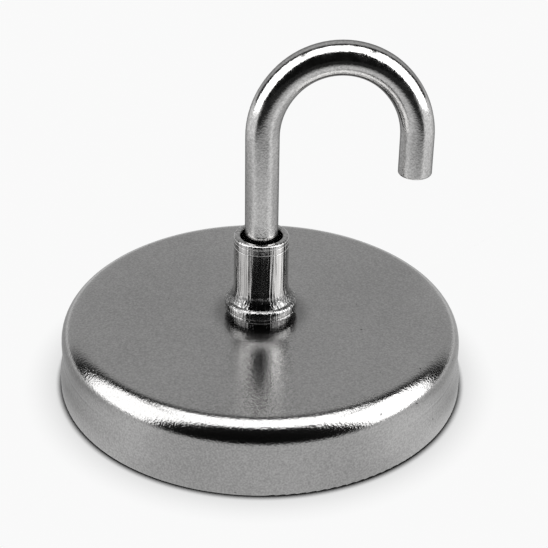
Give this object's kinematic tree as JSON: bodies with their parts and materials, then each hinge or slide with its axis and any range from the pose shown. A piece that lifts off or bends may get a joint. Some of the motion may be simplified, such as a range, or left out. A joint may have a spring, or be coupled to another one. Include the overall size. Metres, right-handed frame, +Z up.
{
  "type": "magnetic hook",
  "caption": "Round pot magnet in a shallow plated steel cup, with an open round-wire hook that swivels in a flared ferrule riveted to the middle of the cup.",
  "frame": {"origin": "centre of the magnet's working face, in the plane of the cup's rim, on the swivel axis", "axes": "+Z up the hook's shank, away from the working face; at rest the hook lies in the XZ plane and opens towards +X"},
  "size_m": [0.0666, 0.0666, 0.0591],
  "materials": {
    "satin_nickel": "satin",
    "bright_nickel": "gloss",
    "washer_steel": "satin",
    "ferrite": "matte",
    "resin": "satin"
  },
  "bodies": {
    "magnet": {"steel_cup": "satin_nickel", "ring_magnet": "ferrite", "magnet_bond": "resin", "rim_potting": "resin", "swivel_hub": "bright_nickel", "backing_washer": "washer_steel", "hub_plug": "washer_steel"},
    "hook": {"hook": "bright_nickel"}
  },
  "joints": [
    {"name": "hook_swivel", "type": "hinge", "parent": "magnet", "child": "hook", "pos_m": [0, 0, 0.02], "axis": [0, 0, 1], "continuous": true}
  ]
}
